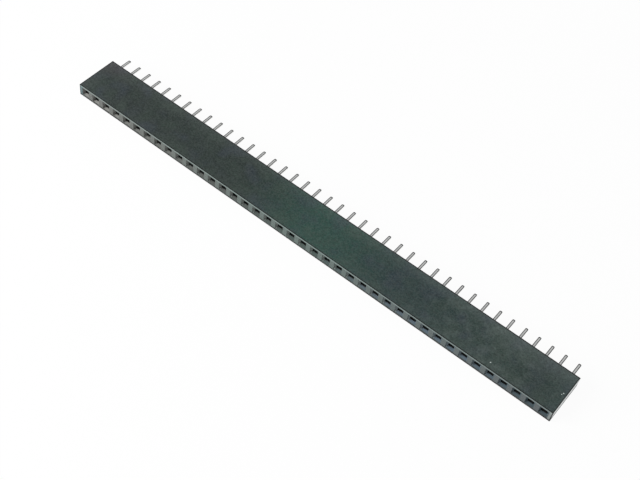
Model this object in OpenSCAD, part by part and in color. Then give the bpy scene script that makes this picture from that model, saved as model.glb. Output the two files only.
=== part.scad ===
// Female pin header strip: one row of sockets in a moulded housing, with one stamped contact in each.
// It lies on a broad face. X runs along the row, -Y is the mating face, +Y the board side, +Z is up.

/* [Row] */
// Number of contacts in the row
positions = 40; // [2:1:59]
// Distance between neighbouring contacts
pitch = 2.54; // [2.3:0.02:5]
// Plastic added past the last half pitch at each end
end_margin = 0.2; // [0:0.05:2]

/* [Housing] */
// Height of the housing from the board side to the mating face
body_h = 8.5; // [7.5:0.1:16]
// Thickness of the housing between its two broad faces
body_t = 2.5; // [2.2:0.05:5]
// Plastic between a cavity and each broad face
skin_t = 0.3; // [0.15:0.05:0.4]
// Rounding of the housing's outer edges
edge_r = 0.06; // [0.02:0.01:0.2]

/* [Sockets] */
// Width of the lead-in mouth, along the row
mouth_w = 1.65; // [1.2:0.05:1.9]
// Height of the lead-in mouth, across the broad faces
mouth_t = 1.65; // [1.25:0.05:2]
// Depth of the tapered lead-in
lead_in_depth = 0.5; // [0.1:0.05:0.7]
// Width of the pin hole at the bottom of the lead-in
hole_w = 1.1; // [0.7:0.05:1.15]
// Height of the pin hole at the bottom of the lead-in
hole_t = 1.2; // [0.7:0.05:1.2]
// Thickness of the front wall, lead-in and pin hole together
front_wall = 0.8; // [0.75:0.05:1.8]
// Width of the contact cavity behind the front wall
cavity_w = 1.5; // [1.4:0.05:1.8]

/* [Contact sheet and tail] */
// Thickness of the contact's sheet metal
sheet_t = 0.2; // [0.1:0.01:0.25]
// Inside radius of the contact's bends
bend_r = 0.1; // [0.05:0.01:0.15]
// Length of the solder tail below the board side
tail_len = 3.05; // [2:0.05:15]
// Width of the solder tail
tail_w = 0.52; // [0.4:0.02:0.8]
// Length of the tail's pointed end
point_len = 0.2; // [0.1:0.05:0.8]
// Width and thickness left at the end of the point, as a share of the tail's
point_share = 0.7; // [0.2:0.05:0.9]

/* [Contact base] */
// Straight stretch of the tail that stays inside the housing
tail_inset = 0.2; // [0.1:0.05:0.5]
// Length of the S-bend between the tail and the base plate
joggle_len = 0.8; // [0.6:0.05:1.2]
// Width of the base plate between its barbs
plate_w = 1.1; // [0.9:0.05:1.3]
// Length of the base plate behind the box
plate_len = 1.2; // [1.1:0.05:1.8]
// Distance from the plate's rear edge to the barbs
barb_inset = 0.2; // [0.1:0.05:0.3]
// Length of a barb's flat that bears on the cavity wall
barb_flat = 0.2; // [0.1:0.05:0.3]
// Length of a barb's ramp
barb_ramp = 0.45; // [0.2:0.05:0.5]
// Length of the box, the C-shaped stretch that carries both leaves
box_len = 1.6; // [1:0.05:2]
// Clearance between the box and the cavity all round
box_gap = 0.05; // [0.02:0.01:0.1]

/* [Contact leaves] */
// Width of a leaf where it leaves the box
leaf_root_w = 0.8; // [0.6:0.05:0.85]
// Width of a leaf at its tip
leaf_tip_w = 0.6; // [0.4:0.05:0.8]
// Gap between the two leaves where they grip a pin
grip_gap = 0.3; // [0.1:0.05:0.5]
// Gap between the two leaves at their flared tips
flare_gap = 1.2; // [1:0.05:1.25]
// Length of the flare from the grip to the tips
flare_len = 0.7; // [0.5:0.05:1]
// Radius of the rounded grip, at the middle of the sheet
grip_r = 0.5; // [0.2:0.05:0.6]
// Clearance between the leaf tips and the front wall
tip_gap = 0.35; // [0.1:0.05:0.5]

/* [Hidden] */
$fn = 48;

plastic = [0.24, 0.27, 0.27];
tin = [0.76, 0.76, 0.75];

// the whole strip is centred on the origin in X and Y, and stands on Z = 0
strip_l = positions * pitch + 2 * end_margin;
mate_y = -(body_h + tail_len) / 2;
board_y = mate_y + body_h;
tail_end_y = board_y + tail_len;
mid_z = body_t / 2;
cavity_t = body_t - 2 * skin_t;

// where the contact changes shape, from the tail to the leaf tips
point_y = tail_end_y - point_len;
joggle_rear_y = board_y - tail_inset;
plate_rear_y = joggle_rear_y - joggle_len;
box_rear_y = plate_rear_y - plate_len;
box_front_y = box_rear_y - box_len;
tips_y = mate_y + front_wall + tip_gap;
grip_y = tips_y + flare_len;

// height of the sheet's middle above or below the strip's mid plane
box_t = cavity_t - 2 * box_gap;
plate_off = (box_t - sheet_t) / 2;
grip_off = (grip_gap + sheet_t) / 2;
flare_off = (flare_gap + sheet_t) / 2;
mid_bend_r = bend_r + sheet_t / 2;
// largest angle that one flat of a bend turns through
bend_step = 15;

function contact_name(i) = str("contact_", i < 10 ? "0" : "", i);
function contact_x(i) = (i - (positions + 1) / 2) * pitch;

function unit(v) = v / norm(v);
function heading(v) = atan2(v.y, v.x);
function wrapped(a) = a > 180 ? a - 360 : a < -180 ? a + 360 : a;
function left_of(a) = [-sin(a), cos(a)];

// one long edge of a bent sheet: its line of knots moved to the left by offset, with an arc at each knot
function sheet_edge(knots, radii, offset) = [
    knots[0] + offset * left_of(heading(knots[1] - knots[0])),
    for (i = [1:len(knots) - 2])
        each bend_edge(knots[i - 1], knots[i], knots[i + 1], radii[i], offset),
    knots[len(knots) - 1] + offset * left_of(heading(knots[len(knots) - 1] - knots[len(knots) - 2]))
];

function bend_edge(before, knot, after, r, offset) =
    let (
        entry = heading(knot - before),
        angle = wrapped(heading(after - knot) - entry),
        side = sign(angle),
        start = knot - unit(knot - before) * r * tan(abs(angle) / 2),
        centre = start + side * r * left_of(entry),
        steps = ceil(abs(angle) / bend_step)
    )
    [for (k = [0:steps]) centre - (side * r - offset) * left_of(entry + angle * k / steps)];

function sheet_outline(knots, radii) =
    concat(sheet_edge(knots, radii, sheet_t / 2), reversed(sheet_edge(knots, radii, -sheet_t / 2)));

function reversed(list) = [for (i = [len(list) - 1:-1:0]) list[i]];
function mirrored(half) = concat(half, reversed([for (p = half) [-p.x, p.y]]));

// stands a profile drawn in Y and Z across the strip, centred on X = 0
module across(width) {
    rotate([90, 0, 90])
        translate([0, 0, -width / 2])
            linear_extrude(width)
                children();
}

module rounded_rect(size, r) {
    translate([r, 0])
        square([size.x - 2 * r, size.y]);
    translate([0, r])
        square([size.x, size.y - 2 * r]);
    for (x = [r, size.x - r], y = [r, size.y - r])
        translate([x, y])
            circle(r);
}

// ---------- housing ----------

module housing() {
    color(plastic)
        difference() {
            housing_block();
            sockets();
        }
}

// block with every outer edge slightly rounded
module housing_block() {
    intersection() {
        translate([-strip_l / 2, mate_y, 0])
            linear_extrude(body_t)
                rounded_rect([strip_l, body_h], edge_r);
        across(strip_l)
            translate([mate_y, 0])
                rounded_rect([body_h, body_t], edge_r);
        translate([-strip_l / 2, board_y, 0])
            rotate([90, 0, 0])
                linear_extrude(body_h)
                    rounded_rect([strip_l, body_t], edge_r);
    }
}

// all the sockets: their widths seen from above meet their heights seen from the end
module sockets() {
    intersection() {
        linear_extrude(body_t)
            for (i = [1:positions])
                translate([contact_x(i), 0])
                    polygon(socket_outline(mouth_w, hole_w, cavity_w));
        translate([0, 0, mid_z])
            across(strip_l)
                rotate(90)
                    mirror([0, 1])
                        polygon(socket_outline(mouth_t, hole_t, cavity_t));
    }
}

// lead-in, pin hole and cavity, from past the mating face to past the board side
function socket_outline(mouth, hole, cavity) =
    let (
        past = 1,
        flare = (mouth - hole) / 2 / lead_in_depth * past
    )
    mirrored([
        [mouth / 2 + flare, mate_y - past],
        [hole / 2, mate_y + lead_in_depth],
        [hole / 2, mate_y + front_wall],
        [cavity / 2, mate_y + front_wall],
        [cavity / 2, board_y + past]
    ]);

// ---------- contacts ----------

// one stamped and bent contact: tail, base plate with barbs, box and two leaves
module contact(i) {
    color(tin)
        translate([contact_x(i), 0, mid_z]) {
            intersection() {
                across(cavity_w)
                    lower_profile();
                blank(lower_outline());
            }
            intersection() {
                across(cavity_w)
                    upper_profile();
                blank(leaf_outline());
            }
            contact_box();
        }
}

// flat outline as stamped, tall enough to hold the bent sheet
module blank(outline) {
    translate([0, 0, -cavity_t / 2])
        linear_extrude(cavity_t)
            polygon(outline);
}

// from the tail's point through the S-bend and base plate to the lower leaf's tip
module lower_profile() {
    point_t = point_share * sheet_t;
    knots = [
        [point_y, 0],
        [joggle_rear_y, 0],
        [plate_rear_y, -plate_off],
        [box_front_y, -plate_off],
        [grip_y, -grip_off],
        [tips_y, -flare_off]
    ];
    radii = [0, mid_bend_r, mid_bend_r, mid_bend_r, grip_r, 0];
    polygon(concat(
        [[tail_end_y, -point_t / 2]],
        sheet_outline(knots, radii),
        [[tail_end_y, point_t / 2]]
    ));
}

// from the rear of the box to the upper leaf's tip
module upper_profile() {
    knots = [
        [box_rear_y, plate_off],
        [box_front_y, plate_off],
        [grip_y, grip_off],
        [tips_y, flare_off]
    ];
    polygon(sheet_outline(knots, [0, mid_bend_r, grip_r, 0]));
}

function lower_outline() =
    let (
        barb_y = plate_rear_y - barb_inset,
        relief_y = box_rear_y + sheet_t
    )
    mirrored([
        [point_share * tail_w / 2, tail_end_y],
        [tail_w / 2, point_y],
        [tail_w / 2, plate_rear_y],
        [plate_w / 2, plate_rear_y],
        [plate_w / 2, barb_y],
        [cavity_w / 2, barb_y],
        [cavity_w / 2, barb_y - barb_flat],
        [plate_w / 2, barb_y - barb_flat - barb_ramp],
        [plate_w / 2, relief_y],
        [leaf_root_w / 2, relief_y],
        [leaf_root_w / 2, box_front_y],
        [leaf_tip_w / 2, tips_y - sheet_t]
    ]);

function leaf_outline() =
    mirrored([
        [leaf_root_w / 2, box_rear_y],
        [leaf_root_w / 2, box_front_y],
        [leaf_tip_w / 2, tips_y - sheet_t]
    ]);

// C-shaped stretch: one side wall joins the lower and upper plates, the other side is open
module contact_box() {
    outer_r = bend_r + sheet_t;
    wall_x = -cavity_w / 2 + box_gap;
    open_x = leaf_root_w / 2 + sheet_t / 2;
    translate([0, box_rear_y, 0])
        rotate([90, 0, 0])
            linear_extrude(box_len)
                intersection() {
                    translate([wall_x, -box_t / 2])
                        difference() {
                            rounded_rect([2 * cavity_w, box_t], outer_r);
                            translate([sheet_t, sheet_t])
                                rounded_rect([2 * cavity_w, box_t - 2 * sheet_t], bend_r);
                        }
                    translate([wall_x, -box_t / 2])
                        square([open_x - wall_x, box_t]);
                }
}

housing();
for (i = [1:positions])
    contact(i);
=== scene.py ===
import math

import bpy
from mathutils import Matrix, Vector


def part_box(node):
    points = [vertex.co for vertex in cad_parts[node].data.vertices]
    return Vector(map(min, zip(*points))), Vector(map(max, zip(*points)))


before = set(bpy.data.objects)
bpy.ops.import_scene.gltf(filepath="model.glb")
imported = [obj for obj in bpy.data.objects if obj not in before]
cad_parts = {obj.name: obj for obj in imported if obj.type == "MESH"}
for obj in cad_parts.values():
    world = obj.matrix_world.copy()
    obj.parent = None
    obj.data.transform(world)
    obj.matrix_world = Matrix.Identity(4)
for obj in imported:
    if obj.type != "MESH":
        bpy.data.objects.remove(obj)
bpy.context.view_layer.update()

MM = 0.001

# The row is centred on X = 0. It has an even number of sockets, so X = 0 lies midway between two.
HOUSING_LOW, HOUSING_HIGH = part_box("housing")
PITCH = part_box("contact_02")[0].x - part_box("contact_01")[0].x
TAIL_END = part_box("contact_01")[1].y
TAIL_WIDTH = 0.52 * MM
LEAD_IN_DEPTH = 0.5 * MM


# ---------- camera ----------

def looking_back(place, back):
    """Matrix of a camera or lamp at a place, looking against the direction back."""
    return Matrix.Translation(place) @ (-back).to_track_quat("-Z", "Y").to_matrix().to_4x4()


def make_camera():
    """Looks down on the mating face and the broad face, from the front right, a little rolled."""
    azimuth = math.radians(30.67)
    elevation = math.radians(51.98)
    roll = math.radians(9.62)
    distance = 194.9 * MM
    right_of_middle = 2.985 * MM
    behind_front = 2.725 * MM
    middle = (HOUSING_LOW + HOUSING_HIGH) / 2
    aim = Vector((middle.x + right_of_middle, HOUSING_LOW.y + behind_front, middle.z))
    back = Vector((
        math.sin(azimuth) * math.cos(elevation),
        -math.cos(azimuth) * math.cos(elevation),
        math.sin(elevation),
    ))
    data = bpy.data.cameras.new("camera")
    data.sensor_width = 36
    data.lens = 64.82
    data.clip_start = 10 * MM
    data.clip_end = 10
    camera = bpy.data.objects.new("camera", data)
    bpy.context.scene.collection.objects.link(camera)
    camera.matrix_world = looking_back(aim + back * distance, back) @ Matrix.Rotation(roll, 4, "Z")
    bpy.context.scene.camera = camera


make_camera()


# ---------- node helpers ----------

WHITE = (1, 1, 1, 1)
BLACK = (0, 0, 0, 1)


class Nodes:
    """Short calls for building one node tree. A value may be a number or another node's output."""

    # nearly all of a noise lies between these two values
    NOISE_LOW = 0.3
    NOISE_HIGH = 0.7

    def __init__(self, tree):
        self.tree = tree
        tree.nodes.clear()

    def add(self, kind, **settings):
        node = self.tree.nodes.new(kind)
        for name, value in settings.items():
            setattr(node, name, value)
        return node

    def link(self, source, target):
        self.tree.links.new(source, target)

    def put(self, value, target):
        if isinstance(value, bpy.types.NodeSocket):
            self.link(value, target)
        else:
            target.default_value = value

    def math(self, operation, a, b=0.0, clamp=False):
        node = self.add("ShaderNodeMath", operation=operation, use_clamp=clamp)
        self.put(a, node.inputs[0])
        self.put(b, node.inputs[1])
        return node.outputs[0]

    def times(self, value, *others):
        """Product of all the values."""
        for other in others:
            value = self.math("MULTIPLY", value, other)
        return value

    def most(self, value, *others):
        """Largest of the values."""
        for other in others:
            value = self.math("MAXIMUM", value, other)
        return value

    def mix(self, factor, a, b, blend="MIX", share=1.0):
        """Colour a where the factor is 0, and b, in this share, where it is 1."""
        if share != 1.0:
            factor = self.times(factor, share)
        node = self.add("ShaderNodeMix", data_type="RGBA", blend_type=blend)
        self.put(factor, node.inputs["Factor"])
        self.put(a, node.inputs["A"])
        self.put(b, node.inputs["B"])
        return node.outputs["Result"]

    def darken(self, factor, colour, left):
        """Leaves this share of the colour's light where the factor is 1."""
        return self.mix(1.0, colour, self.mix(factor, WHITE, (left, left, left, 1)), "MULTIPLY")

    def blend(self, factor, a, b):
        """Number a where the factor is 0, and b where it is 1."""
        node = self.add("ShaderNodeMix", data_type="FLOAT")
        self.put(factor, node.inputs["Factor"])
        self.put(a, node.inputs["A"])
        self.put(b, node.inputs["B"])
        return node.outputs["Result"]

    def ramp(self, value, low, high, out_low=0.0, out_high=1.0):
        """Goes evenly from out_low at low to out_high at high, and stays level past both."""
        node = self.add("ShaderNodeMapRange")
        self.link(value, node.inputs["Value"])
        node.inputs["From Min"].default_value = low
        node.inputs["From Max"].default_value = high
        node.inputs["To Min"].default_value = out_low
        node.inputs["To Max"].default_value = out_high
        return node.outputs["Result"]

    def fade(self, value, none, full):
        """0 where the value is at none or beyond, 1 where it is at full or beyond."""
        return self.ramp(value, none, full)

    def near(self, value, centre, none, full):
        """1 within the distance full of the centre, 0 past the distance none."""
        distance = self.math("ABSOLUTE", self.math("SUBTRACT", value, centre))
        return self.fade(distance, none=none, full=full)

    def noise(self, vector, size, detail=2.0, roughness=0.5):
        """Noise whose patches are about size metres across."""
        node = self.add("ShaderNodeTexNoise")
        self.link(vector, node.inputs["Vector"])
        node.inputs["Scale"].default_value = 1 / size
        node.inputs["Detail"].default_value = detail
        node.inputs["Roughness"].default_value = roughness
        return node.outputs["Fac"]

    def spread(self, noise, low=0.0, high=1.0):
        """Noise stretched to run from low to high."""
        return self.ramp(noise, self.NOISE_LOW, self.NOISE_HIGH, low, high)

    def colours(self, value, stops):
        """Colour along a run of (place from 0 to 1, colour) stops."""
        node = self.add("ShaderNodeValToRGB")
        self.link(value, node.inputs["Fac"])
        run = node.color_ramp
        run.interpolation = "EASE"
        while len(run.elements) < len(stops):
            run.elements.new(1.0)
        for element, (position, colour) in zip(run.elements, stops):
            element.position = position
            element.color = colour
        return node.outputs["Color"]

    def spot(self, vector, centre, size):
        """1 near the centre, 0 about the distance size away, with a ragged, soft rim."""
        core = 0.7 * size
        patch = 0.8 * size
        raggedness = 0.5 * size
        node = self.add("ShaderNodeVectorMath", operation="DISTANCE")
        self.link(vector, node.inputs[0])
        node.inputs[1].default_value = centre
        ragged = self.spread(self.noise(vector, patch), low=-raggedness, high=raggedness)
        return self.fade(self.math("ADD", node.outputs["Value"], ragged), none=size, full=core)

    def bump(self, height, distance):
        """Normal of a surface whose height 0 to 1 stands for this distance."""
        node = self.add("ShaderNodeBump")
        node.inputs["Distance"].default_value = distance
        self.link(height, node.inputs["Height"])
        return node.outputs["Normal"]

    def split(self, vector):
        node = self.add("ShaderNodeSeparateXYZ")
        self.link(vector, node.inputs[0])
        return node.outputs[0], node.outputs[1], node.outputs[2]

    def place(self):
        """Position on the object, in metres, in the part's own frame."""
        return self.add("ShaderNodeTexCoord").outputs["Object"]

    def from_socket_line(self, x):
        """Distance along X from the centre line of the nearest socket, below 0 on its -X side."""
        share_of_pitch = self.math("FRACT", self.math("DIVIDE", x, PITCH))
        return self.times(self.math("SUBTRACT", share_of_pitch, 0.5), PITCH)


def new_material(name):
    material = bpy.data.materials.new(name)
    material.use_nodes = True
    nodes = Nodes(material.node_tree)
    shader = nodes.add("ShaderNodeBsdfPrincipled")
    output = nodes.add("ShaderNodeOutputMaterial")
    nodes.link(shader.outputs["BSDF"], output.inputs["Surface"])
    return material, nodes, shader


def srgb(r, g, b):
    """Linear colour from 0-255 display values."""
    def linear(v):
        v = v / 255
        return v / 12.92 if v <= 0.04045 else ((v + 0.055) / 1.055) ** 2.4
    return (linear(r), linear(g), linear(b), 1.0)


# ---------- housing ----------

# Drift of colour from the -X end to the +X end, as (share of the length, colour).
TOP_COLOURS = [
    (0.0, srgb(38, 47, 45)),
    (0.03, srgb(14, 33, 29)),
    (0.08, srgb(6, 26, 22)),
    (0.34, srgb(0, 26, 20)),
    (0.52, srgb(8, 59, 49)),
    (0.7, srgb(6, 40, 39)),
    (0.88, srgb(26, 49, 44)),
    (0.955, srgb(11, 39, 34)),
    (1.0, srgb(34, 54, 52)),
]
# the mating face's colour along the row: partly its own colour and partly painted light, which makes it
# paler than the top face
FRONT_COLOURS_AND_LIGHT = [
    (0.0, srgb(56, 84, 86)),
    (0.006, srgb(58, 82, 84)),
    (0.014, srgb(74, 76, 72)),
    (0.5, srgb(68, 82, 77)),
    (0.75, srgb(60, 71, 70)),
    (1.0, srgb(57, 65, 68)),
]
# painted light on the lead-in slopes, drifting along the row
LEAD_IN_PAINTED_LIGHT = [
    (0.05, srgb(128, 128, 124)),
    (0.16, srgb(106, 108, 104)),
    (0.32, srgb(79, 82, 79)),
    (0.52, srgb(72, 84, 80)),
    (0.68, srgb(86, 98, 106)),
    (0.78, srgb(87, 102, 113)),
    (1.0, srgb(66, 80, 86)),
]
WARM_TINT = srgb(36, 56, 42)
COOL_TINT = srgb(32, 42, 58)
PLUM_TINT = srgb(48, 34, 44)
HAZE = srgb(150, 160, 157)
# painted highlight along the top rim of the mating face
RIM_HIGHLIGHT = srgb(128, 146, 142)
END_STRIP = srgb(150, 158, 154)
# painted highlight on the rounded top edge of the +X end
EDGE_HIGHLIGHT = srgb(190, 198, 194)
LIT_SLOPE = srgb(165, 172, 168)
SPECK = srgb(190, 200, 196)

# Pale specks on the top face: distance from the +X end, distance from the mating face, size.
SPECKS = [
    (12.5 * MM, 1.2 * MM, 0.13 * MM),
    (0.8 * MM, 3.85 * MM, 0.1 * MM),
    (0.64 * MM, 4.2 * MM, 0.11 * MM),
]


class HousingPlace:
    """Where a point of the housing lies: its place, its distances from the faces, from the nearest
    socket's centre line and from the mid plane, and how far along the row it is, from 0 to 1."""

    def __init__(self, nodes):
        self.vector = nodes.place()
        self.x, y, self.z = nodes.split(self.vector)
        mid_z = (HOUSING_LOW.z + HOUSING_HIGH.z) / 2
        self.from_front = nodes.math("SUBTRACT", y, HOUSING_LOW.y)
        self.from_back = nodes.math("SUBTRACT", HOUSING_HIGH.y, y)
        self.from_top = nodes.math("SUBTRACT", HOUSING_HIGH.z, self.z)
        self.from_mid = nodes.math("ABSOLUTE", nodes.math("SUBTRACT", self.z, mid_z))
        self.from_right = nodes.math("SUBTRACT", HOUSING_HIGH.x, self.x)
        self.from_end = nodes.math("SUBTRACT", HOUSING_HIGH.x, nodes.math("ABSOLUTE", self.x))
        self.from_line = nodes.from_socket_line(self.x)
        self.along = nodes.ramp(self.x, HOUSING_LOW.x, HOUSING_HIGH.x)


class HousingParts:
    """Parts of the housing's surface, each 1 on the part and 0 off it."""

    def __init__(self, nodes, at):
        self.front = nodes.fade(at.from_front, none=0.08 * MM, full=0.05 * MM)
        self.end = nodes.fade(at.from_end, none=0.04 * MM, full=0.01 * MM)

        # the flat of the mating face, clear of the rounded long edges
        self.web = nodes.times(
            nodes.fade(at.from_front, none=0.1 * MM, full=0.06 * MM),
            nodes.fade(at.from_mid, none=1.22 * MM, full=1.16 * MM),
        )
        self.rim = nodes.times(nodes.fade(at.from_top, none=0.4 * MM, full=0.25 * MM), self.front)

        # the tapered lead-ins, then all of the sockets behind them
        lead_in_end = LEAD_IN_DEPTH + 0.03 * MM
        under_skin = nodes.times(
            nodes.fade(at.from_end, none=0.03 * MM, full=0.06 * MM),
            nodes.fade(at.from_back, none=0.03 * MM, full=0.06 * MM),
        )
        self.mouth = nodes.times(
            nodes.fade(at.from_front, none=0.06 * MM, full=0.1 * MM),
            nodes.fade(at.from_front, none=lead_in_end, full=LEAD_IN_DEPTH),
            nodes.fade(at.from_mid, none=0.9 * MM, full=0.84 * MM),
            under_skin,
        )
        self.inside = nodes.times(
            nodes.fade(at.from_front, none=LEAD_IN_DEPTH, full=lead_in_end),
            nodes.fade(at.from_mid, none=1.1 * MM, full=1.04 * MM),
            under_skin,
        )

        # the shaded foot of the mating face and of the ends
        front_foot = nodes.times(
            nodes.fade(at.z, none=0.45 * MM, full=0.32 * MM),
            nodes.fade(at.from_front, none=0.3 * MM, full=0.2 * MM),
        )
        end_foot = nodes.times(nodes.fade(at.z, none=0.25 * MM, full=0.1 * MM), self.end)
        self.foot = nodes.most(front_foot, end_foot)

        # painted shade: dark lines round the top face and up the front corners
        top_line = nodes.most(
            nodes.fade(at.from_back, none=0.26 * MM, full=0.2 * MM),
            nodes.near(at.from_end, centre=0.14 * MM, none=0.09 * MM, full=0.04 * MM),
            nodes.fade(at.from_front, none=0.2 * MM, full=0.12 * MM),
        )
        top_line = nodes.times(top_line, nodes.fade(at.from_top, none=0.1 * MM, full=0.05 * MM))
        corner_line = nodes.times(nodes.fade(at.from_end, none=0.22 * MM, full=0.14 * MM), self.front)
        self.outline = nodes.most(top_line, corner_line)

        # what is paler at the +X end: a strip of the mating face, and a painted highlight on the end's
        # rounded top edge
        self.end_strip = nodes.times(
            nodes.fade(at.from_right, none=0.62 * MM, full=0.45 * MM),
            self.front,
        )
        self.highlit_edge = nodes.times(
            nodes.fade(at.from_right, none=0.07 * MM, full=0.05 * MM),
            nodes.fade(at.from_top, none=0.12 * MM, full=0.08 * MM),
        )


def top_colour(nodes, at):
    """Drift along the row, tinted patches, haze, smears, mottle and dust."""

    def hazed(colour, mask, start, end, start_share, end_share):
        """Adds haze under a mask, in a share that changes along X from start to end."""
        share = nodes.ramp(at.x, start, end, start_share, end_share)
        return nodes.mix(nodes.times(mask, share), colour, HAZE)

    colour = nodes.colours(at.along, TOP_COLOURS)
    tint = nodes.noise(at.vector, size=3.2 * MM, detail=1)
    colour = nodes.mix(nodes.fade(tint, none=0.5, full=0.7), colour, WARM_TINT, share=0.3)
    colour = nodes.mix(nodes.fade(tint, none=0.5, full=0.3), colour, COOL_TINT, share=0.4)
    far_left_corner = nodes.times(
        nodes.fade(at.x, none=-44 * MM, full=-49 * MM),
        nodes.fade(at.from_back, none=4 * MM, full=1 * MM),
    )
    colour = nodes.mix(far_left_corner, colour, PLUM_TINT, share=0.5)

    far_edge = nodes.fade(at.from_back, none=2.5 * MM, full=0.4 * MM)
    colour = hazed(colour, far_edge, start=5 * MM, end=40 * MM, start_share=0.06, end_share=0.12)
    # close to the +X end the haze and the smears thin out
    thinning = nodes.ramp(at.x, low=43 * MM, high=47 * MM, out_low=1.0, out_high=0.3)
    near_edge = nodes.times(nodes.fade(at.from_front, none=2.5 * MM, full=0.5 * MM), thinning)
    colour = hazed(colour, near_edge, start=0.0, end=35 * MM, start_share=0.016, end_share=0.04)
    patch = nodes.times(
        nodes.near(at.x, centre=42.5 * MM, none=9 * MM, full=5 * MM),
        nodes.near(at.from_back, centre=2.3 * MM, none=2 * MM, full=0.7 * MM),
    )
    colour = nodes.mix(patch, colour, HAZE, share=0.05)
    smear = nodes.fade(nodes.noise(at.vector, size=1.5 * MM, detail=3), none=0.44, full=0.66)
    smear = nodes.times(smear, thinning)
    colour = hazed(colour, smear, start=16 * MM, end=34 * MM, start_share=0.015, end_share=0.08)

    mottle = nodes.noise(at.vector, size=0.5 * MM, detail=3, roughness=0.6)
    colour = nodes.mix(1.0, colour, nodes.spread(mottle, low=0.7, high=1.3), "MULTIPLY")
    dust = nodes.noise(at.vector, size=0.22 * MM, detail=3, roughness=0.6)
    dust = nodes.fade(dust, none=0.38, full=0.62)
    return hazed(colour, dust, start=28 * MM, end=36 * MM, start_share=0.102, end_share=0.107)


def add_front(nodes, at, parts, colour):
    """Adds the mating face, paler than the top partly as painted light, with a painted highlight on its
    rim, the paler +X end and painted light on the lead-ins.
    """
    colour = nodes.mix(parts.web, colour, nodes.colours(at.along, FRONT_COLOURS_AND_LIGHT), share=0.9)
    colour = nodes.mix(parts.rim, colour, RIM_HIGHLIGHT, share=0.42)
    colour = nodes.mix(parts.end_strip, colour, END_STRIP, share=0.4)
    colour = nodes.mix(parts.highlit_edge, colour, EDGE_HIGHLIGHT, share=0.8)
    colour = nodes.mix(parts.mouth, colour, nodes.colours(at.along, LEAD_IN_PAINTED_LIGHT), share=0.9)

    # the -X slope of each lead-in, lit in the middle of the row and shaded towards the -X end
    slope = nodes.times(nodes.fade(at.from_line, none=-0.5 * MM, full=-0.6 * MM), parts.mouth)
    middle_of_row = nodes.times(
        nodes.fade(at.along, none=0.1, full=0.35),
        nodes.fade(at.along, none=0.95, full=0.7),
    )
    colour = nodes.mix(nodes.times(slope, middle_of_row), colour, LIT_SLOPE, share=0.5)
    shade = nodes.times(
        nodes.fade(at.from_line, none=-0.25 * MM, full=-0.55 * MM),
        parts.mouth,
        nodes.ramp(at.along, low=0.0, high=0.5, out_low=0.5, out_high=0.1),
    )
    return nodes.mix(shade, colour, BLACK)


def housing_roughness(nodes, at, parts):
    """Satin, with matt lines, foot and sockets. The upper part of the end faces is glossy."""
    gloss = 0.05
    matt = 1.0
    dull = 0.8
    rough = nodes.spread(nodes.noise(at.vector, size=3 * MM, detail=4), low=0.26, high=0.36)
    end_rough = nodes.ramp(at.z, low=0.6 * MM, high=1.2 * MM, out_low=matt, out_high=gloss)
    rough = nodes.blend(parts.end, rough, end_rough)
    rough = nodes.blend(parts.outline, rough, matt)
    rough = nodes.blend(parts.foot, rough, dull)
    return nodes.blend(parts.inside, rough, dull)


def housing_plastic():
    """Dark satin moulding: greener in the middle, hazy at its far edge, painted light on the lead-ins,
    painted shade in the sockets.
    """
    material, nodes, shader = new_material("housing_plastic")
    at = HousingPlace(nodes)
    parts = HousingParts(nodes, at)

    colour = top_colour(nodes, at)
    colour = add_front(nodes, at, parts, colour)
    # painted shade inside the sockets, nearly black
    colour = nodes.darken(parts.inside, colour, left=0.03)
    colour = nodes.darken(parts.foot, colour, left=0.08)
    # painted shade along the edges of the top face and up the front corners
    colour = nodes.darken(parts.outline, colour, left=0.1)
    for from_right, from_front, size in SPECKS:
        centre = (HOUSING_HIGH.x - from_right, HOUSING_LOW.y + from_front, HOUSING_HIGH.z)
        colour = nodes.mix(nodes.spot(at.vector, centre, size), colour, SPECK)
    nodes.link(colour, shader.inputs["Base Color"])

    nodes.link(housing_roughness(nodes, at, parts), shader.inputs["Roughness"])
    shader.inputs["IOR"].default_value = 1.56
    # the moulding's fine grain, left out on the end faces
    grain_height = 0.003 * MM
    level = 0.5
    grain = nodes.blend(parts.end, nodes.noise(at.vector, size=0.12 * MM), level)
    nodes.link(nodes.bump(grain, grain_height), shader.inputs["Normal"])
    return material


# ---------- contacts ----------

TIN_DARK = srgb(238, 240, 239)
TIN_LIGHT = srgb(250, 251, 249)
# painted dark reflection along the tail's sides and end
DARK_EDGE_REFLECTION = srgb(30, 30, 30)
SHEARED = srgb(228, 228, 226)


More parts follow.
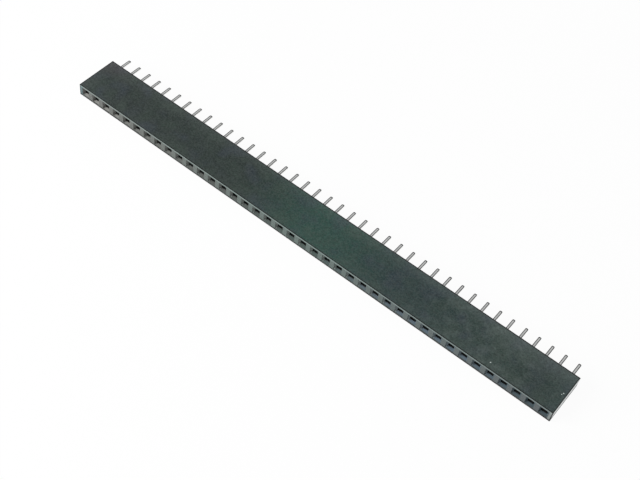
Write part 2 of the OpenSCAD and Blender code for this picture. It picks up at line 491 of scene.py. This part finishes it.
def contact_metal():
    """Satin tin plate, with painted dark reflections along the sides and end of the tail, and greyer
    sheared faces.
    """
    material, nodes, shader = new_material("contact_metal")
    place = nodes.place()
    x, y, _ = nodes.split(place)
    from_line = nodes.math("ABSOLUTE", nodes.from_socket_line(x))
    from_tail_end = nodes.math("SUBTRACT", TAIL_END, y)

    tint = nodes.spread(nodes.noise(place, size=0.8 * MM, detail=3))
    colour = nodes.mix(tint, TIN_DARK, TIN_LIGHT)
    # painted dark reflections: bands along both sides of the tail and near its end
    dark_edge_band = nodes.most(
        nodes.fade(from_line, none=0.21 * TAIL_WIDTH, full=0.33 * TAIL_WIDTH),
        nodes.fade(from_tail_end, none=0.25 * MM, full=0.15 * MM),
    )
    colour = nodes.mix(dark_edge_band, colour, DARK_EDGE_REFLECTION)
    sheared = nodes.most(
        nodes.fade(from_line, none=0.485 * TAIL_WIDTH, full=0.498 * TAIL_WIDTH),
        nodes.fade(from_tail_end, none=0.02 * MM, full=0.005 * MM),
    )
    colour = nodes.mix(sheared, colour, SHEARED)
    nodes.link(colour, shader.inputs["Base Color"])

    shader.inputs["Metallic"].default_value = 1.0
    rough = nodes.spread(nodes.noise(place, size=0.3 * MM, detail=3), low=0.38, high=0.52)
    nodes.link(rough, shader.inputs["Roughness"])
    scratch_depth = 0.002 * MM
    scratches = nodes.noise(place, size=0.08 * MM)
    nodes.link(nodes.bump(scratches, scratch_depth), shader.inputs["Normal"])
    return material


plastic = housing_plastic()
metal = contact_metal()
for name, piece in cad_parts.items():
    is_housing = name == "housing"
    piece.data.materials.clear()
    piece.data.materials.append(plastic if is_housing else metal)


# ---------- floor and light ----------

DOME_LIGHT = 0.58
WHITE_LIGHT = 1.0


def mirrored_rays(nodes, path):
    """1 for rays from a mirror or through glass, 0 for the others."""
    glossy = path.outputs["Is Glossy Ray"]
    return nodes.math("ADD", glossy, path.outputs["Is Transmission Ray"], clamp=True)


def make_world():
    """Soft dome of plain light. The camera sees it white, and so do reflections near the horizon."""
    world = bpy.data.worlds.new("world")
    world.use_nodes = True
    bpy.context.scene.world = world
    nodes = Nodes(world.node_tree)
    background = nodes.add("ShaderNodeBackground")
    output = nodes.add("ShaderNodeOutputWorld")
    nodes.link(background.outputs[0], output.inputs["Surface"])
    path = nodes.add("ShaderNodeLightPath")
    height = nodes.split(nodes.add("ShaderNodeTexCoord").outputs["Generated"])[2]
    by_horizon = nodes.fade(height, none=0.25, full=0.08)
    mirrored = nodes.times(mirrored_rays(nodes, path), by_horizon)
    seen = nodes.math("ADD", path.outputs["Is Camera Ray"], mirrored, clamp=True)
    nodes.link(nodes.ramp(seen, 0.0, 1.0, DOME_LIGHT, WHITE_LIGHT), background.inputs["Strength"])


def make_floor():
    """Wide sheet just under the part. It takes the shadow, and looks white wherever it is seen."""
    reach = 3.0
    height = -0.01 * MM
    plain_grey = (0.9, 0.9, 0.9, 1)
    white_share = 0.95
    mesh = bpy.data.meshes.new("floor")
    corners = [
        (-reach, -reach, height),
        (reach, -reach, height),
        (reach, reach, height),
        (-reach, reach, height),
    ]
    mesh.from_pydata(corners, [], [(0, 1, 2, 3)])
    floor = bpy.data.objects.new("floor", mesh)
    bpy.context.scene.collection.objects.link(floor)
    material = bpy.data.materials.new("floor")
    material.use_nodes = True
    nodes = Nodes(material.node_tree)
    diffuse = nodes.add("ShaderNodeBsdfDiffuse")
    diffuse.inputs["Color"].default_value = plain_grey
    glow = nodes.add("ShaderNodeEmission")
    mixer = nodes.add("ShaderNodeMixShader")
    output = nodes.add("ShaderNodeOutputMaterial")
    path = nodes.add("ShaderNodeLightPath")
    seen = nodes.math("ADD", path.outputs["Is Camera Ray"], mirrored_rays(nodes, path), clamp=True)
    nodes.link(nodes.times(seen, white_share), mixer.inputs[0])
    nodes.link(diffuse.outputs[0], mixer.inputs[1])
    nodes.link(glow.outputs[0], mixer.inputs[2])
    nodes.link(mixer.outputs[0], output.inputs["Surface"])
    mesh.materials.append(material)


def add_lamp(name, direction, distance, size, power):
    """Square lamp in a direction from the origin, turned to face it."""
    data = bpy.data.lights.new(name, "AREA")
    data.shape = "SQUARE"
    data.size = size
    data.energy = power
    lamp = bpy.data.objects.new(name, data)
    bpy.context.scene.collection.objects.link(lamp)
    place = Vector(direction).normalized() * distance
    lamp.matrix_world = looking_back(place, place)


make_world()
make_floor()
add_lamp("key", direction=(-0.8, -0.85, 0.48), distance=0.42, size=0.3, power=2.6)

bpy.context.scene.view_settings.view_transform = "Standard"
